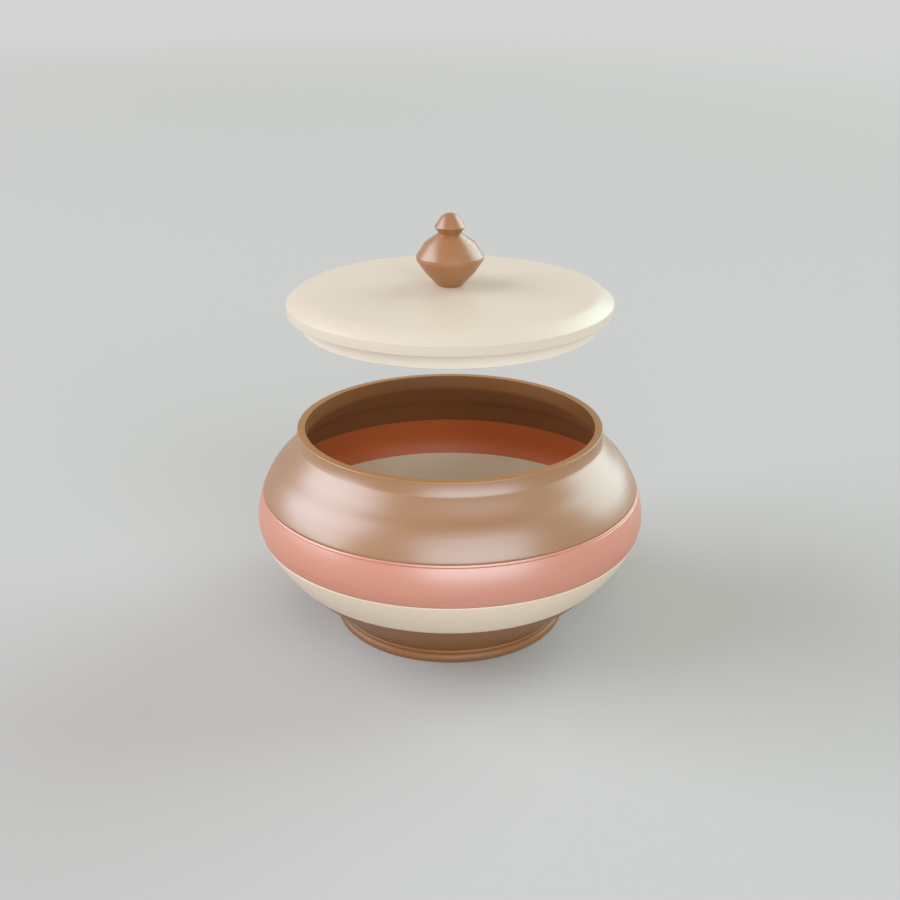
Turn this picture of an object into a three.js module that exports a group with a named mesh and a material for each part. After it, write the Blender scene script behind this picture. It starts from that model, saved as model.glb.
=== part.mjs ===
import * as THREE from "three";

// A lidded bowl: a round pot built up from fitted rings of coloured clay, with a loose lid and a turned
// knob. The lid is held above the pot, as when it has just been lifted off.
// Millimetres, +Z up, origin at the centre of the face that the foot stands on.

// Facets round a turned piece
const BOWL_FACETS = 48;
const KNOB_FACETS = 32;

// Height of the pot to the top of its rim, and of its rings from the table up, each between the seams
// that show outside. The shoulder ring takes what is left below the neck.
const rimHeight = 106.8;
const footHeight = 7.3;
const baseHeight = 24.0;
const creamHeight = 21.35;
const coralHeight = 21.45;
const neckHeight = 6.5;

// Radii of the pot's outer face
const footRadius = 60.8;
const pedestalRadius = 59.7;
const baseRadius = 84.4;
const bellyRadius = 100.3;
const shoulderRadius = 87.3;
const neckRadius = 78.3;

// Where the belly is widest, above the seam below it, and where the shoulder leans in most, below the neck
const bellyRise = 7.2;
const shoulderDrop = 10.4;

// How far the outer face leans from upright, in degrees, outwards on its way up. The neck's is the lean of
// the shoulder where it meets the upright neck.
const pedestalLean = 45;
const baseLean = 43;
const shoulderLean = -48;
const neckLean = -42;

// Wall, floor and rounds of the pot
const wall = 4.0;
const floorThickness = 6.4;
const floorBlend = 9.0;
const rimRound = 0.4;
const mouthRound = 0.4;

// The lap joint between two rings: outside they meet on a flat bed, and inside the upper ring's tongue
// drops into a rebate of the lower one
const lapDepth = 1.2;
const fitGap = 0.3;
const tongueBevel = 0.35;
const rebateBevel = 0.6;

// A line cut round the coral ring just below its upper seam
const creaseDrop = 1.15;
const creaseWidth = 0.5;
const creaseDepth = 0.35;

// Foot ring: two beads with a groove between them, bored to fit over the boss under the base
const lowerBeadHeight = 5.0;
const lowerBeadInset = 1.5;
const upperBeadInset = 1.0;
const upperBeadStep = 0.5;
const footWidth = 8.8;
const footChamfer = 0.8;
const recessDepth = 3.6;

// Lid, measured from its seat: edge, bevel, low dome, and the flange that centres it in the mouth
const lidRadius = 80.9;
const lidEdge = 4.8;
const lidBevelRun = 5.2;
const lidBevelRise = 4.2;
const domeRise = 2.5;
const domeFullness = 4;
const lidPlate = 7.0;
const flangeClearance = 0.7;
const flangeDepth = 7.9;
const flangeWall = 4.0;
const flangeRound = 0.4;
const ceilingFillet = 3.0;
const edgeRound = 0.3;
const seatGap = 0.3;
const lidLift = 60.7;

// Knob, from the lid up: foot, bulb with a flat band at its widest, waist, bead and cap
const knobFootRadius = 6.0;
const knobFlareRadius = 12.2;
const knobBulbRadius = 16.6;
const knobWaistRadius = 5.5;
const knobBeadRadius = 7.6;
const knobCapRadius = 4.4;
const knobFlareRise = 6.6;
const knobBulbRise = 6.3;
const knobBandHeight = 1.8;
const knobShoulderRise = 6.7;
const knobWaistRise = 4.5;
const knobBeadRise = 3.1;
const knobCapRise = 4.8;
const knobTopRise = 1.9;
const knobLand = 2.0;
const tenonRadius = 4.0;
const socketDepth = 4.5;

// Heights of the seams, worked out from the rings
const baseSeam = footHeight + baseHeight;
const creamSeam = baseSeam + creamHeight;
const coralSeam = creamSeam + coralHeight;
const neckStart = rimHeight - neckHeight;
const floorHeight = recessDepth + floorThickness;
const mouthRadius = neckRadius - wall;

const point = (r, z) => new THREE.Vector2(r, z);

function heading(leanDegrees) {
  const lean = THREE.MathUtils.degToRad(leanDegrees);
  return point(Math.sin(lean), Math.cos(lean));
}

// The pot's outer face passes through these places. The pulls say how far the curve follows the lean
// before and after each one, as a part of the distance to its neighbour.
const stations = [
  { r: pedestalRadius, z: footHeight, lean: pedestalLean, pullAfter: 0.33 },
  { r: baseRadius, z: baseSeam, lean: baseLean, pullBefore: 0.33, pullAfter: 0.34 },
  { r: bellyRadius, z: creamSeam + bellyRise, lean: 0, pullBefore: 0.26, pullAfter: 0.31 },
  { r: shoulderRadius, z: neckStart - shoulderDrop, lean: shoulderLean, pullBefore: 0.28, pullAfter: 0.33 },
  { r: neckRadius, z: neckStart, lean: neckLean, pullBefore: 0.4 },
];

function wallSpan(from, to) {
  const start = point(from.r, from.z);
  const end = point(to.r, to.z);
  const chord = start.distanceTo(end);
  const leave = heading(from.lean).multiplyScalar(chord * from.pullAfter).add(start);
  const arrive = end.clone().sub(heading(to.lean).multiplyScalar(chord * to.pullBefore));
  return new THREE.CubicBezierCurve(start, leave, arrive, end);
}

function outerFace() {
  const line = [];
  for (let i = 0; i + 1 < stations.length; i += 1) {
    line.push(...wallSpan(stations[i], stations[i + 1]).getPoints(60));
  }
  line.push(point(neckRadius, rimHeight));
  return line;
}

const outerLine = outerFace();

// Radius of the outer face at a height
function outerRadius(z) {
  const next = outerLine.findIndex((p) => p.y >= z);
  if (next <= 0) {
    return next === 0 ? outerLine[0].x : outerLine.at(-1).x;
  }
  const low = outerLine[next - 1];
  const high = outerLine[next];
  const share = high.y > low.y ? (z - low.y) / (high.y - low.y) : 1;
  return low.x + (high.x - low.x) * share;
}

// Radius of the hollow at a height: nowhere nearer to the outer face than one wall
function hollowRadius(z) {
  let radius = Infinity;
  for (const p of outerLine) {
    const rise = Math.abs(z - p.y);
    if (rise <= wall) {
      radius = Math.min(radius, p.x - Math.sqrt(wall * wall - rise * rise));
    }
  }
  return radius;
}

// Points on a face of revolution from one height to another, both ends included
function follow(radiusAt, from, to, steps) {
  const points = [];
  for (let i = 0; i <= steps; i += 1) {
    const z = from + ((to - from) * i) / steps;
    points.push(point(radiusAt(z), z));
  }
  return points;
}

// Points on an arc about a centre, with angles in degrees from the outward direction
function arc(centreR, centreZ, radius, fromDegrees, toDegrees, steps) {
  const points = [];
  for (let i = 0; i <= steps; i += 1) {
    const angle = THREE.MathUtils.degToRad(fromDegrees + ((toDegrees - fromDegrees) * i) / steps);
    points.push(point(centreR + radius * Math.cos(angle), centreZ + radius * Math.sin(angle)));
  }
  return points;
}

function lapRadius(seam) {
  return (outerRadius(seam) + hollowRadius(seam)) / 2;
}

// The lower end of an upper ring, from its hollow to its outer face
function tongueEnd(seam) {
  const lap = lapRadius(seam) - fitGap / 2;
  return [
    point(hollowRadius(seam - lapDepth), seam - lapDepth),
    point(lap, seam - lapDepth),
    point(lap, seam),
    point(outerRadius(seam) - tongueBevel, seam),
  ];
}

// The upper end of a lower ring, from its outer face to its hollow
function rebateEnd(seam) {
  const lap = lapRadius(seam) + fitGap / 2;
  return [
    point(outerRadius(seam) - rebateBevel, seam),
    point(lap, seam),
    point(lap, seam - lapDepth),
    point(hollowRadius(seam - lapDepth), seam - lapDepth),
  ];
}

// A half-round bead between two heights, standing out to its full radius at mid-height
function bead(low, high, fullRadius, inset, steps) {
  const half = (high - low) / 2;
  const radius = (half * half + inset * inset) / (2 * inset);
  const centre = fullRadius - radius;
  const sweep = THREE.MathUtils.radToDeg(Math.atan2(half, radius - inset));
  return arc(centre, low + half, radius, -sweep, sweep, steps);
}

// A turned piece from its outline: up the outside, in over the top and down the inside
function turned(name, outline, facets, look) {
  const geometry = new THREE.LatheGeometry(outline, facets);
  geometry.rotateX(Math.PI / 2);
  const mesh = new THREE.Mesh(geometry, new THREE.MeshStandardMaterial(look));
  mesh.name = name;
  return mesh;
}

// A ring's outline closes on its own first point
function ring(name, outline, look) {
  return turned(name, [...outline, outline[0].clone()], BOWL_FACETS, look);
}

// Satin clay finishes
const brownClay = { color: 0xb68d6f, roughness: 0.4, metalness: 0 };
const coralClay = { color: 0xdd8f7a, roughness: 0.45, metalness: 0 };
const creamClay = { color: 0xe4d8c4, roughness: 0.45, metalness: 0 };
const knobClay = { color: 0xa87850, roughness: 0.35, metalness: 0 };

function footRing() {
  const bore = footRadius - footWidth;
  const lower = bead(0, lowerBeadHeight, footRadius, lowerBeadInset, 6);
  const upper = bead(lowerBeadHeight, footHeight, footRadius - upperBeadStep, upperBeadInset, 4);
  const outline = [
    ...lower,
    ...upper.slice(1),
    point(bore, footHeight),
    point(bore, footChamfer),
    point(bore + footChamfer, 0),
  ];
  return ring("foot_ring", outline, brownClay);
}

function base() {
  const boss = footRadius - footWidth - fitGap;
  const blendTop = floorHeight + floorBlend;
  const corner = point(hollowRadius(floorHeight), floorHeight);
  const floorEdge = point(corner.x - floorBlend, floorHeight);
  const blendStart = point(hollowRadius(blendTop), blendTop);
  const floorCurve = new THREE.QuadraticBezierCurve(blendStart, corner, floorEdge);
  const outline = [
    point(0, recessDepth),
    point(boss, recessDepth),
    point(boss, footHeight),
    ...follow(outerRadius, footHeight, baseSeam - rebateBevel, 4),
    ...rebateEnd(baseSeam),
    ...floorCurve.getPoints(4),
    point(0, floorHeight),
  ];
  return turned("base", outline, BOWL_FACETS, brownClay);
}

function lowerRing() {
  const outline = [
    ...tongueEnd(baseSeam),
    ...follow(outerRadius, baseSeam + tongueBevel, creamSeam - rebateBevel, 4),
    ...rebateEnd(creamSeam),
    ...follow(hollowRadius, creamSeam - lapDepth, baseSeam - lapDepth, 4).slice(1, -1),
  ];
  return ring("lower_ring", outline, creamClay);
}

function bellyRing() {
  const crease = coralSeam - creaseDrop;
  const outline = [
    ...tongueEnd(creamSeam),
    ...follow(outerRadius, creamSeam + tongueBevel, crease - creaseWidth / 2, 5),
    point(outerRadius(crease) - creaseDepth, crease),
    point(outerRadius(crease + creaseWidth / 2), crease + creaseWidth / 2),
    ...rebateEnd(coralSeam),
    ...follow(hollowRadius, coralSeam - lapDepth, creamSeam - lapDepth, 5).slice(1, -1),
  ];
  return ring("belly_ring", outline, coralClay);
}

function shoulderRing() {
  const outline = [
    ...tongueEnd(coralSeam),
    ...follow(outerRadius, coralSeam + tongueBevel, neckStart, 9),
    ...arc(neckRadius - rimRound, rimHeight - rimRound, rimRound, 0, 90, 2),
    ...arc(mouthRadius + mouthRound, rimHeight - mouthRound, mouthRound, 90, 180, 1),
    ...follow(hollowRadius, neckStart, neckStart - wall, 4),
    ...follow(hollowRadius, neckStart - wall, coralSeam - lapDepth, 7).slice(1, -1),
  ];
  return ring("shoulder_ring", outline, brownClay);
}

const lidTop = lidEdge + lidBevelRise + domeRise;

function lid() {
  const flangeRadius = mouthRadius - flangeClearance;
  const flangeBore = flangeRadius - flangeWall;
  const ceiling = lidTop - lidPlate;
  const domeEdge = lidRadius - lidBevelRun;
  const land = knobFootRadius + knobLand;
  const dome = [];
  const domeSteps = 8;
  for (let i = 0; i <= domeSteps; i += 1) {
    const share = Math.sqrt(1 - i / domeSteps);
    dome.push(point(land + (domeEdge - land) * share, lidTop - domeRise * share ** domeFullness));
  }
  const socket = tenonRadius + fitGap;
  const outline = [
    point(0, ceiling),
    ...arc(flangeBore - ceilingFillet, ceiling - ceilingFillet, ceilingFillet, 90, 0, 2),
    ...arc(flangeBore + flangeRound, flangeRound - flangeDepth, flangeRound, 180, 270, 2),
    ...arc(flangeRadius - flangeRound, flangeRound - flangeDepth, flangeRound, 270, 360, 2),
    point(flangeRadius, 0),
    point(lidRadius - edgeRound, 0),
    point(lidRadius, edgeRound),
    point(lidRadius, lidEdge),
    ...dome,
    point(socket, lidTop),
    point(socket, lidTop - socketDepth),
    point(0, lidTop - socketDepth),
  ];
  return turned("lid", outline, BOWL_FACETS, creamClay);
}

function knob() {
  const rises = [
    [knobFlareRadius, knobFlareRise],
    [knobBulbRadius, knobBulbRise],
    [knobBulbRadius, knobBandHeight],
    [knobFlareRadius, knobShoulderRise],
    [knobWaistRadius, knobWaistRise],
    [knobBeadRadius, knobBeadRise],
    [knobCapRadius, knobCapRise],
  ];
  const outline = [
    point(0, lidTop - socketDepth + fitGap),
    point(tenonRadius, lidTop - socketDepth + fitGap),
    point(tenonRadius, lidTop),
    point(knobFootRadius, lidTop),
  ];
  let height = lidTop;
  for (const [radius, rise] of rises) {
    height += rise;
    outline.push(point(radius, height));
  }
  const capSteps = 3;
  for (let i = 1; i <= capSteps; i += 1) {
    const share = 1 - i / capSteps;
    outline.push(point(knobCapRadius * share, height + knobTopRise * (1 - share * share)));
  }
  return turned("knob", outline, KNOB_FACETS, knobClay);
}

const lidAssembly = new THREE.Group();
lidAssembly.position.z = rimHeight + seatGap + lidLift;
lidAssembly.add(lid(), knob());

const bowl = new THREE.Group();
bowl.add(footRing(), base(), lowerRing(), bellyRing(), shoulderRing(), lidAssembly);

export default bowl;
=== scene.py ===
import math

import bmesh
import bpy
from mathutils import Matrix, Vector
from mathutils.geometry import interpolate_bezier


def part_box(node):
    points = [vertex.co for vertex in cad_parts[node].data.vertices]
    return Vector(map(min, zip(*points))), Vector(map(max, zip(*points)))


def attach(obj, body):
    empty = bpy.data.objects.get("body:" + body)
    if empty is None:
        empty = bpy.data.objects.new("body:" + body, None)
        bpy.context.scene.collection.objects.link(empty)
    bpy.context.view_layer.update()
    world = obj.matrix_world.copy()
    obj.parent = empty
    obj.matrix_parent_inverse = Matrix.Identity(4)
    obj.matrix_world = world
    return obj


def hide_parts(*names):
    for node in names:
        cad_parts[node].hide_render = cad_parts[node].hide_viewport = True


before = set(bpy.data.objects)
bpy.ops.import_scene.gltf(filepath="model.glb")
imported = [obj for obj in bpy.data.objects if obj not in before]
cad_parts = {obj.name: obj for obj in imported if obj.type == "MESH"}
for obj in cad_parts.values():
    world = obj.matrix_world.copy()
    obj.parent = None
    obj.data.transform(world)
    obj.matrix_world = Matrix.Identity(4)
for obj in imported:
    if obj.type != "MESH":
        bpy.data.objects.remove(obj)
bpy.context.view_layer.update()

# Lidded bowl of fitted clay rings, with a loose lid held above it. Sizes of the object are in
# millimetres up to spin_piece, which makes them metres. Heights and radii that the frame knows are
# read from it.

MM = 0.001
TURN_STEPS = 160
KNOB_STEPS = 96
MERGE_GAP = 0.002 * MM


def low(node):
    """Height of a CAD node's lowest point."""
    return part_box(node)[0][2] / MM


def high(node):
    """Height of a CAD node's highest point."""
    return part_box(node)[1][2] / MM


def reach(node):
    """Largest radius of a CAD node."""
    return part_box(node)[1][0] / MM


# Seams and rim of the pot
foot_top = high("foot_ring")
base_seam = high("base")
cream_seam = high("lower_ring")
coral_seam = high("belly_ring")
rim_height = high("shoulder_ring")

# Outer face of the pot: radius, height, lean from upright in degrees, and how far the curve follows
# that lean before and after the place, as a part of the distance to its neighbour
pedestal_radius = 59.7
base_radius = 84.4
belly_radius = 100.27
shoulder_radius = 87.3
neck_radius = 78.3
belly_rise = 7.2
shoulder_drop = 10.4
neck_height = 6.5
neck_start = rim_height - neck_height
stations = [
    {"r": pedestal_radius, "z": foot_top, "lean": 45, "after": 0.33},
    {"r": base_radius, "z": base_seam, "lean": 43, "before": 0.33, "after": 0.34},
    {"r": belly_radius, "z": cream_seam + belly_rise, "lean": 0, "before": 0.26, "after": 0.31},
    {"r": shoulder_radius, "z": neck_start - shoulder_drop, "lean": -48, "before": 0.28, "after": 0.33},
    {"r": neck_radius, "z": neck_start, "lean": -42, "before": 0.4},
]
span_points = 40

# Walls, floor and rim
wall = 4.0
floor_height = 10.0
floor_blend = 9.0
floor_pull = 0.6
floor_steps = 16
recess_depth = low("base")
rim_round = 0.4
mouth_round = 0.25
neck_step = 0.5

# Lap joints between the rings, and the fine line cut below the coral ring's upper seam
lap_depth = 1.2
fit_gap = 0.3
seam_groove = 0.3
cream_bevel = 0.6
coral_bevel = 0.1
crease_drop = 1.15
crease_half = 0.28
crease_depth = 0.4
crease_step = 0.4

# Foot ring
foot_groove = 5.0
foot_width = 8.8
foot_chamfer = 0.8
upper_bead_step = 0.5
lower_bead_inset = 1.5
upper_bead_inset = 1.0

# Lid
tenon_radius = 4.0
socket_depth = 4.5
knob_base = low("knob") + socket_depth - fit_gap
flange_depth = 7.9
lid_seat = low("lid") + flange_depth
lid_edge = 4.8
lid_bevel_run = 5.2
lid_bevel_rise = 4.2
lid_plate = 7.0
knob_land = 8.0
dome_fullness = 4
dome_steps = 8
flange_radius = 73.6
flange_wall = 4.0
hollow_round = 3.0
flange_round = 0.4
seat_round = 0.3

# Knob above its foot: the radius of each step, its rise from the step below, and its round if it
# has one. The cap above them is a curve through these shares of the last step's radius.
knob_foot_radius = 6.0
knob_steps = [
    {"r": 12.2, "rise": 6.6},
    {"r": 16.6, "rise": 6.3, "round": 4.0},
    {"r": 16.6, "rise": 1.8},
    {"r": 12.2, "rise": 6.7},
    {"r": 5.5, "rise": 4.5},
    {"r": 7.6, "rise": 3.1},
    {"r": 4.4, "rise": 4.8},
]
cap_shares = (0.6, 0.33, 0)


def heading(lean):
    return Vector((math.sin(math.radians(lean)), math.cos(math.radians(lean))))


def outer_face():
    """Points up the outer face, from the foot to the rim."""
    line = []
    for start, end in zip(stations, stations[1:]):
        first = Vector((start["r"], start["z"]))
        last = Vector((end["r"], end["z"]))
        chord = (last - first).length
        leave = first + heading(start["lean"]) * chord * start["after"]
        arrive = last - heading(end["lean"]) * chord * end["before"]
        line += interpolate_bezier(first, leave, arrive, last, span_points)
    return line + [Vector((neck_radius, rim_height))]


outer_line = outer_face()


def outer_radius(z):
    for start, end in zip(outer_line, outer_line[1:]):
        if end.y >= z > start.y:
            return start.x + (end.x - start.x) * (z - start.y) / (end.y - start.y)
    return outer_line[0].x if z <= outer_line[0].y else outer_line[-1].x


def hollow_radius(z):
    """Radius of the hollow: nowhere nearer to the outer face than one wall."""
    near = [p for p in outer_line if abs(z - p.y) <= wall]
    return min(p.x - math.sqrt(wall ** 2 - (z - p.y) ** 2) for p in near)


def follow(radius_at, start, end, step=1.0):
    """Points on a turned face between two heights, at most a step apart."""
    count = max(2, math.ceil(abs(end - start) / step))
    heights = [start + (end - start) * i / count for i in range(count + 1)]
    return [(radius_at(z), z) for z in heights]


def hollow_line(start, end):
    """Points on the hollow between two heights, without the ends."""
    return follow(hollow_radius, start, end)[1:-1]


def rounded(points, segments=5):
    """The outline, with a round at each point that gives a radius after its place.

    The round's handles reach by pull towards the corner, which makes it nearly an arc of a circle,
    and it takes up no more than side_share of either side.
    """
    pull = 0.56
    side_share = 0.45
    places = [Vector(point[:2]) for point in points]
    out = []
    for i, (r, z, *radius) in enumerate(points):
        if not any(radius):
            out.append((r, z))
            continue
        corner = places[i]
        before = places[i - 1] - corner
        after = places[(i + 1) % len(places)] - corner
        half = before.angle(after) / 2
        run = min(radius[0] / math.tan(half), before.length * side_share, after.length * side_share)
        start = corner + before.normalized() * run
        end = corner + after.normalized() * run
        handles = (start.lerp(corner, pull), end.lerp(corner, pull))
        curve = interpolate_bezier(start, *handles, end, segments)
        out += [tuple(p) for p in curve]
    return out


def add_object(name, data):
    thing = bpy.data.objects.new(name, data)
    bpy.context.scene.collection.objects.link(thing)
    return thing


def finished_mesh(name, bm):
    mesh = bpy.data.meshes.new(name)
    bm.to_mesh(mesh)
    bm.free()
    return mesh


def spin_piece(name, outline, steps=TURN_STEPS, closed=True, sharp=35):
    """A turned piece from its outline. An open outline starts and ends on the axis.

    An edge at which the faces turn by more than sharp, in degrees, is shaded as a sharp one.
    """
    bm = bmesh.new()
    verts = [bm.verts.new((r * MM, 0, z * MM)) for r, z in outline]
    ends = verts[1:] + verts[:1] if closed else verts[1:]
    edges = [bm.edges.new(pair) for pair in zip(verts, ends)]
    bmesh.ops.spin(
        bm, geom=verts + edges, cent=(0, 0, 0), axis=(0, 0, 1), angle=math.tau, steps=steps,
        use_merge=True,
    )
    bmesh.ops.remove_doubles(bm, verts=bm.verts, dist=MERGE_GAP)
    bmesh.ops.recalc_face_normals(bm, faces=bm.faces)
    for face in bm.faces:
        face.smooth = True
    mesh = finished_mesh(name, bm)
    mesh.set_sharp_from_angle(angle=math.radians(sharp))
    return add_object(name, mesh)


# The finishes that the faces of one piece can wear: the outside's; a copy with painted shade in the
# hollow, or with painted light below the lid's edge; and a copy with painted light on the flat of the
# rim. A face's middle may lie level_slack below the level that it belongs to, and a face that lies
# deeper in the wall than the share given below is in the hollow.
OUTSIDE, PAINTED_COPY, LIP_PAINTED_LIGHT = range(3)
level_slack = 0.1
hollow_share = 0.8


def pot_finish(middle):
    """The flat of the rim gets painted light and the hollow painted shade."""
    height = middle.z / MM
    if height > rim_height - level_slack:
        return LIP_PAINTED_LIGHT
    deep = outer_radius(height) - middle.xy.length / MM > hollow_share * wall
    return PAINTED_COPY if deep and height > floor_height - level_slack else OUTSIDE


def lid_finish(middle):
    """The flange and the hollow below the lid get the paler cream, painted light."""
    return PAINTED_COPY if middle.z / MM < lid_seat - level_slack else OUTSIDE


def finish_piece(piece, node, body, finishes, finish_at=None):
    """Gives a piece its finish, or its finishes for the outside, the copy with painted shade or light,
    and the lip with painted light.
    """
    for material in finishes:
        piece.data.materials.append(material)
    if finish_at:
        for face in piece.data.polygons:
            face.material_index = finish_at(face.center)
    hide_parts(node)
    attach(piece, body)


def lap_radius(seam):
    return (outer_radius(seam) + hollow_radius(seam)) / 2


def tongue_end(seam):
    """The lower end of an upper ring, from its hollow to its outer face."""
    lap = lap_radius(seam) - fit_gap / 2
    shelf = seam - lap_depth
    outside = (outer_radius(seam) - seam_groove, seam)
    return [(hollow_radius(shelf), shelf), (lap, shelf), (lap, seam), outside]


def rebate_end(seam, bevel):
    """The upper end of a lower ring, from its outer face to its hollow."""
    lap = lap_radius(seam) + fit_gap / 2
    shelf = seam - lap_depth
    outside = (outer_radius(seam) - bevel, seam)
    return [outside, (lap, seam), (lap, shelf), (hollow_radius(shelf), shelf)]


def bead(start, end, full, inset, count=12):
    """A half-round bead between two heights."""
    half = (end - start) / 2
    radius = (half ** 2 + inset ** 2) / (2 * inset)
    sweep = math.atan2(half, radius - inset)
    angles = [-sweep + 2 * sweep * i / count for i in range(count + 1)]
    middle = start + half
    return [(full - radius + radius * math.cos(a), middle + radius * math.sin(a)) for a in angles]


# Satin clay


class Nodes:
    """Short calls for building the nodes of a material or of the room."""

    def __init__(self, owner):
        owner.use_nodes = True
        self.tree = owner.node_tree
        self.tree.nodes.clear()

    def add(self, kind, links=None, **settings):
        node = self.tree.nodes.new(kind)
        for key, value in settings.items():
            setattr(node, key, value)
        for socket, value in (links or {}).items():
            if isinstance(value, bpy.types.NodeSocket):
                self.tree.links.new(value, node.inputs[socket])
            else:
                node.inputs[socket].default_value = value
        return node

    def seen(self):
        """1 where a surface is seen or mirrored, 0 where it only gives light to others."""
        path = self.add("ShaderNodeLightPath").outputs
        direct = {0: path["Is Camera Ray"], 1: path["Is Glossy Ray"]}
        either = self.add("ShaderNodeMath", direct, operation="MAXIMUM")
        whole = {0: either.outputs[0], 1: path["Is Transmission Ray"]}
        return self.add("ShaderNodeMath", whole, operation="MAXIMUM").outputs[0]


# Sockets of the mix node that carry a colour
MIX_A = 6
MIX_B = 7
MIX_COLOUR_OUT = 2

# How often the clay's patterns repeat in a metre, how far the clouds darken the colour, and how far
# the lines from turning change the roughness
CLOUD_SCALE = 22.0
GRAIN_SCALE = 1400.0
TURNING_SCALE = 420.0
CLOUD_SHADE = 0.95
GLOSS_CHANGE = 0.03


def satin_clay(name, colour, roughness, ior):
    """Fired clay with a satin glaze: soft clouding, fine grain and faint lines from turning."""
    shade = [value * CLOUD_SHADE for value in colour]
    clay_material = bpy.data.materials.new(name)
    nodes = Nodes(clay_material)
    place = nodes.add("ShaderNodeTexCoord").outputs["Object"]
    clouds = nodes.add("ShaderNodeTexNoise", {"Vector": place, "Scale": CLOUD_SCALE, "Detail": 3.0})
    grain = nodes.add("ShaderNodeTexNoise", {"Vector": place, "Scale": GRAIN_SCALE, "Detail": 2.0})
    split = nodes.add("ShaderNodeSeparateXYZ", {"Vector": place})
    flat = nodes.add("ShaderNodeVectorMath", {0: place, 1: (1.0, 1.0, 0.0)}, operation="MULTIPLY")
    radius = nodes.add("ShaderNodeVectorMath", {0: flat.outputs[0]}, operation="LENGTH")
    turned = nodes.add("ShaderNodeCombineXYZ", {
        "X": radius.outputs["Value"], "Z": split.outputs["Z"],
    })
    lines = nodes.add("ShaderNodeTexNoise", {
        "Vector": turned.outputs[0], "Scale": TURNING_SCALE, "Detail": 2.0,
    })
    tone = nodes.add("ShaderNodeMix", {
        0: clouds.outputs["Fac"], MIX_A: (*shade, 1), MIX_B: (*colour, 1),
    }, data_type="RGBA")
    speck = nodes.add("ShaderNodeMapRange", {
        "Value": grain.outputs["Fac"], "From Min": 0.3, "From Max": 0.7, "To Min": 0.98, "To Max": 1.02,
    })
    final = nodes.add("ShaderNodeVectorMath", {
        0: tone.outputs[MIX_COLOUR_OUT], 1: speck.outputs[0],
    }, operation="MULTIPLY")
    satin = nodes.add("ShaderNodeMapRange", {
        "Value": lines.outputs["Fac"], "From Min": 0.25, "From Max": 0.75,
        "To Min": roughness - GLOSS_CHANGE, "To Max": roughness + GLOSS_CHANGE,
    })
    relief = nodes.add("ShaderNodeMath", {
        0: lines.outputs["Fac"], 1: grain.outputs["Fac"],
    }, operation="ADD")
    bump = nodes.add("ShaderNodeBump", {
        "Height": relief.outputs[0], "Strength": 0.2, "Distance": 0.00002,
    })
    clay = nodes.add("ShaderNodeBsdfPrincipled", {
        "Base Color": final.outputs[0], "Roughness": satin.outputs[0], "Normal": bump.outputs[0],
        "IOR": ior,
    })
    nodes.add("ShaderNodeOutputMaterial", {"Surface": clay.outputs[0]})
    return clay_material


# Colours of the fired clays. The hollow, the base and the foot are less glossy than the outside,
# and their colours are painted deeper: painted shade. The flat of the rim is less glossy and painted
# lighter than the outside: painted light on its top. The lid is painted paler below its edge, and the
# lower cream ring paler than the lid: painted light.
brown_glaze = satin_clay("brown satin glaze", (0.325, 0.132, 0.036), roughness=0.35, ior=2.07)
# Flat of the rim: painted light, a paler brown than the outside glaze, and less glossy.
brown_lip_painted_light = satin_clay("brown rim painted light", (0.42, 0.190, 0.058), roughness=0.45, ior=1.45)
# Hollow, base and foot: painted shade, a darker brown than the outside glaze, and less glossy.
brown_clay_painted_shade = satin_clay("brown clay painted shade", (0.262, 0.102, 0.028), roughness=0.45, ior=1.48)
coral_glaze = satin_clay("coral satin glaze", (0.59, 0.200, 0.114), roughness=0.36, ior=2.3)
# Hollow of the coral ring: painted shade, a more saturated coral than the outside, and less glossy.
coral_lining_painted_shade = satin_clay("coral lining painted shade", (0.69, 0.165, 0.043), roughness=0.45, ior=1.5)
cream_glaze = satin_clay("cream satin glaze", (0.715, 0.590, 0.460), roughness=0.38, ior=1.55)
# Flange and hollow below the lid: painted light, a paler cream than the top of the lid.
cream_flange_painted_light = satin_clay("cream flange", (0.84, 0.715, 0.585), roughness=0.42, ior=1.5)
# Lower cream ring: painted light, a paler cream than the lid.
cream_ring_painted_light = satin_clay("cream ring glaze", (0.78, 0.622, 0.468), roughness=0.38, ior=1.55)
# Hollow of the cream ring: painted shade, a more saturated cream than the outside, and less glossy.
cream_lining_painted_shade = satin_clay("cream lining painted shade", (0.86, 0.69, 0.45), roughness=0.45, ior=1.5)
tan_glaze = satin_clay("tan satin glaze", (0.335, 0.125, 0.030), roughness=0.33, ior=1.88)


# The pot


def foot_beads():
    """Foot ring with a full bead, a groove and a small bead above it."""
    full = reach("foot_ring")
    bore = full - foot_width
    outline = bead(0, foot_groove, full, lower_bead_inset)
    outline += bead(foot_groove, foot_top, full - upper_bead_step, upper_bead_inset)[1:]
    outline += [(bore, foot_top), (bore, foot_chamfer), (bore + foot_chamfer, 0)]
    piece = spin_piece("beaded_foot", outline)
    finish_piece(piece, "foot_ring", "bowl", [brown_clay_painted_shade])


def pot_base():
    """Conical bottom with the floor inside and a shallow recess below."""
    boss = reach("foot_ring") - foot_width - fit_gap
    blend_top = floor_height + floor_blend
    corner = Vector((hollow_radius(floor_height), floor_height))
    start = Vector((hollow_radius(blend_top), blend_top))
    end = Vector((corner.x - floor_blend, floor_height))
    handles = (start.lerp(corner, floor_pull), end.lerp(corner, floor_pull))
    curve = interpolate_bezier(start, *handles, end, floor_steps)
    outline = [(0, recess_depth), (boss, recess_depth), (boss, foot_top)]
    outline += follow(outer_radius, foot_top, base_seam - seam_groove)
    outline += rebate_end(base_seam, seam_groove)
    outline += hollow_line(base_seam - lap_depth, blend_top)
    outline += [tuple(p) for p in curve] + [(0, floor_height)]
    piece = spin_piece("conical_base", outline, closed=False)
    finish_piece(piece, "base", "bowl", [brown_clay_painted_shade])


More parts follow.
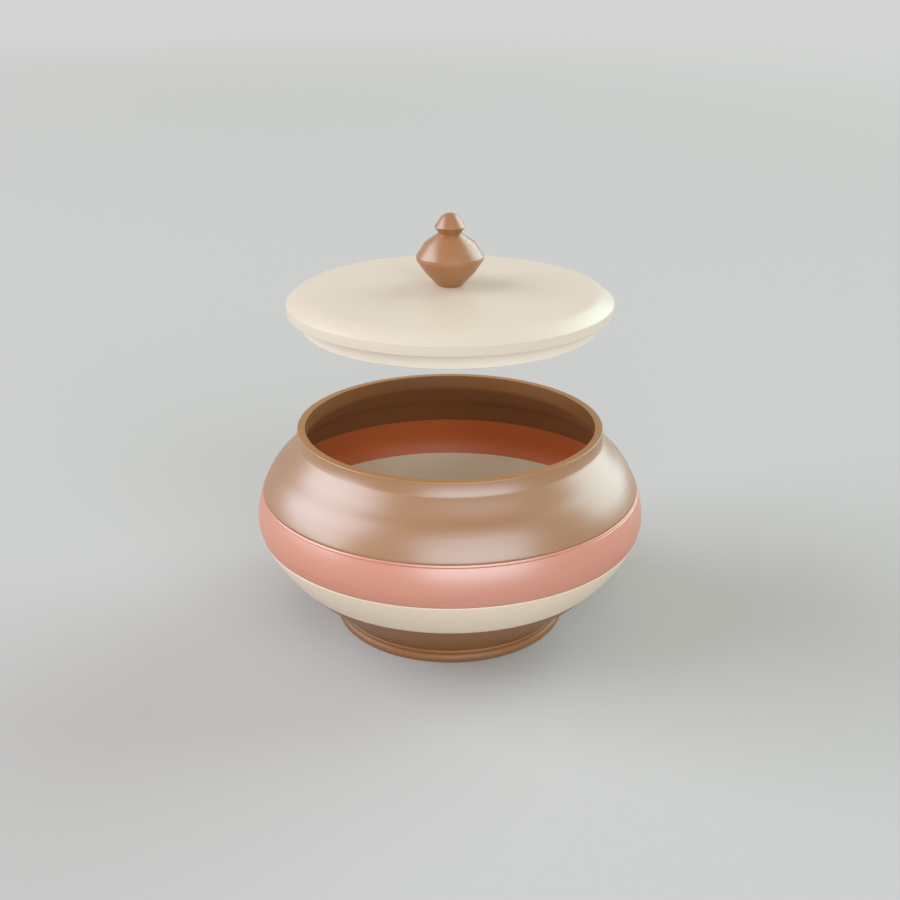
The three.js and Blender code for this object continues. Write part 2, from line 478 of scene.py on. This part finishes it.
def lower_band():
    """Ring between the base and the widest ring."""
    outline = tongue_end(base_seam)
    outline += follow(outer_radius, base_seam + seam_groove, cream_seam - cream_bevel)
    outline += rebate_end(cream_seam, cream_bevel)
    outline += hollow_line(cream_seam - lap_depth, base_seam - lap_depth)
    piece = spin_piece("cream_band", outline)
    finishes = [cream_ring_painted_light, cream_lining_painted_shade]
    finish_piece(piece, "lower_ring", "bowl", finishes, pot_finish)


def belly_band():
    """Widest ring, with a fine line cut round it just below its upper seam."""
    crease = coral_seam - crease_drop
    outline = tongue_end(cream_seam)
    outline += follow(outer_radius, cream_seam + seam_groove, crease - crease_half)
    outline += [(outer_radius(crease) - crease_depth, crease)]
    outline += follow(outer_radius, crease + crease_half, coral_seam - coral_bevel, crease_step)
    outline += rebate_end(coral_seam, coral_bevel)
    outline += hollow_line(coral_seam - lap_depth, cream_seam - lap_depth)
    piece = spin_piece("coral_band", outline)
    finishes = [coral_glaze, coral_lining_painted_shade]
    finish_piece(piece, "belly_ring", "bowl", finishes, pot_finish)


def shoulder_band():
    """Shoulder, short upright neck and flat rim."""
    outline = tongue_end(coral_seam)
    outline += follow(outer_radius, coral_seam + seam_groove, neck_start)
    outline += [(neck_radius, rim_height, rim_round), (neck_radius - wall, rim_height, mouth_round)]
    outline += follow(hollow_radius, neck_start, neck_start - wall, neck_step)
    outline += hollow_line(neck_start - wall, coral_seam - lap_depth)
    piece = spin_piece("brown_shoulder", rounded(outline), sharp=55)
    finishes = [brown_glaze, brown_clay_painted_shade, brown_lip_painted_light]
    finish_piece(piece, "shoulder_ring", "bowl", finishes, pot_finish)


# The lid


def lid_disc():
    """Low dome with a bevelled edge, and a flange below that drops into the mouth."""
    radius = reach("lid")
    bevel_edge = radius - lid_bevel_run
    edge_top = lid_seat + lid_edge
    dome_rise = knob_base - edge_top - lid_bevel_rise
    ceiling = knob_base - lid_plate
    bore = flange_radius - flange_wall
    socket = tenon_radius + fit_gap
    outline = [
        (0, ceiling),
        (bore, ceiling, hollow_round),
        (bore, low("lid"), flange_round),
        (flange_radius, low("lid"), flange_round),
        (flange_radius, lid_seat, seat_round),
        (radius, lid_seat, seat_round),
        (radius, edge_top),
    ]
    for i in range(dome_steps + 1):
        share = math.sqrt(1 - i / dome_steps)
        height = knob_base - dome_rise * share ** dome_fullness
        outline.append((knob_land + (bevel_edge - knob_land) * share, height))
    outline += [(socket, knob_base), (socket, knob_base - socket_depth), (0, knob_base - socket_depth)]
    piece = spin_piece("cream_lid", rounded(outline), closed=False, sharp=45)
    finish_piece(piece, "lid", "lid", [cream_glaze, cream_flange_painted_light], lid_finish)


def turned_knob():
    """Tenon, foot, bulb with a narrow belt at its widest, waist, bead and cap."""
    tenon_end = low("knob")
    outline = [(0, tenon_end), (tenon_radius, tenon_end), (tenon_radius, knob_base)]
    outline.append((knob_foot_radius, knob_base))
    height = knob_base
    for step in knob_steps:
        height += step["rise"]
        outline.append((step["r"], height, step.get("round", 0)))
    cap_radius = knob_steps[-1]["r"]
    cap_rise = high("knob") - height
    for share in cap_shares:
        outline.append((cap_radius * share, height + cap_rise * (1 - share * share)))
    piece = spin_piece("turned_knob", rounded(outline), steps=KNOB_STEPS, closed=False, sharp=30)
    finish_piece(piece, "knob", "lid", [tan_glaze])


foot_beads()
pot_base()
lower_band()
belly_band()
shoulder_band()
lid_disc()
turned_knob()


# Floor, lamps and camera. The floor and the lamps are in metres, the camera in millimetres.


FLOOR_COLOUR = (0.55, 0.525, 0.50)
BACKDROP_COLOUR = (0.66, 0.665, 0.655)
ROOM_LIGHT = (0.38, 0.31, 0.25)
FLOOR_REACH = 12.0
FADE_START = 1.5
FADE_END = 5.0
LAMP_DISTANCE = 7.2
TARGET_HEIGHT = 91.3
CAMERA_DISTANCE = 650.0
CAMERA_ELEVATION = 22.1
CAMERA_LENS = 50
CAMERA_SENSOR = 36
TARGET = Vector((0, 0, TARGET_HEIGHT)) * MM


def pale_floor():
    """Plain floor that takes the object's shadow and turns into the backdrop further off."""
    bm = bmesh.new()
    bmesh.ops.create_grid(bm, x_segments=1, y_segments=1, size=FLOOR_REACH)
    floor = add_object("floor", finished_mesh("floor", bm))
    paint = bpy.data.materials.new("pale floor")
    nodes = Nodes(paint)
    place = nodes.add("ShaderNodeTexCoord").outputs["Object"]
    away = nodes.add("ShaderNodeVectorMath", {0: place}, operation="LENGTH").outputs["Value"]
    far = nodes.add("ShaderNodeMapRange", {
        "Value": away, "From Min": FADE_START, "From Max": FADE_END,
    }, interpolation_type="SMOOTHSTEP")
    share = nodes.add("ShaderNodeMath", {0: far.outputs[0], 1: nodes.seen()}, operation="MULTIPLY")
    matt = nodes.add("ShaderNodeBsdfDiffuse", {"Color": (*FLOOR_COLOUR, 1)})
    haze = nodes.add("ShaderNodeEmission", {"Color": (*BACKDROP_COLOUR, 1)})
    mixed = nodes.add("ShaderNodeMixShader", {
        0: share.outputs[0], 1: matt.outputs[0], 2: haze.outputs[0],
    })
    nodes.add("ShaderNodeOutputMaterial", {"Surface": mixed.outputs[0]})
    floor.data.materials.append(paint)


def direction(azimuth, elevation):
    """Unit vector from the object. Azimuth 0 is towards the camera and 90 to its right."""
    turn = math.radians(azimuth)
    tilt = math.radians(elevation)
    return Vector((math.sin(turn) * math.cos(tilt), -math.cos(turn) * math.cos(tilt), math.sin(tilt)))


def aim(thing, towards):
    thing.rotation_euler = (towards - thing.location).to_track_quat("-Z", "Y").to_euler()


def softbox(name, azimuth, elevation, width, height, watts, colour, roll=0):
    """Large soft lamp that faces the object, turned about its own axis by roll."""
    lamp = bpy.data.lights.new(name, "AREA")
    lamp.shape = "RECTANGLE"
    lamp.size = width
    lamp.size_y = height
    lamp.energy = watts
    lamp.color = colour
    box = add_object(name, lamp)
    box.visible_camera = False
    box.location = TARGET + direction(azimuth, elevation) * LAMP_DISTANCE
    aim(box, TARGET)
    box.rotation_euler.rotate_axis("Z", math.radians(roll))


def room():
    """Even light from all round. What is seen and mirrored of the room is the backdrop."""
    world = bpy.data.worlds.new("room")
    bpy.context.scene.world = world
    nodes = Nodes(world)
    colour = nodes.add("ShaderNodeMix", {
        0: nodes.seen(), MIX_A: (*ROOM_LIGHT, 1), MIX_B: (*BACKDROP_COLOUR, 1),
    }, data_type="RGBA")
    back = nodes.add("ShaderNodeBackground", {"Color": colour.outputs[MIX_COLOUR_OUT]})
    nodes.add("ShaderNodeOutputWorld", {"Surface": back.outputs[0]})


def photo_camera():
    data = bpy.data.cameras.new("camera")
    data.lens = CAMERA_LENS
    data.sensor_width = CAMERA_SENSOR
    camera = add_object("camera", data)
    camera.location = TARGET + direction(0, CAMERA_ELEVATION) * CAMERA_DISTANCE * MM
    aim(camera, TARGET)
    bpy.context.scene.camera = camera


pale_floor()
softbox(
    "right_back_lamp", azimuth=126, elevation=23, width=6.8, height=6.0, watts=455,
    colour=(0.72, 0.97, 1.0), roll=-28,
)
softbox(
    "left_lamp", azimuth=-91, elevation=28, width=7.1, height=6.3, watts=585,
    colour=(0.77, 0.87, 1.0),
)
softbox(
    "front_lamp", azimuth=15, elevation=22, width=8.6, height=6.2, watts=530,
    colour=(0.73, 0.88, 1.0),
)
room()
photo_camera()
bpy.context.scene.view_settings.view_transform = "Standard"
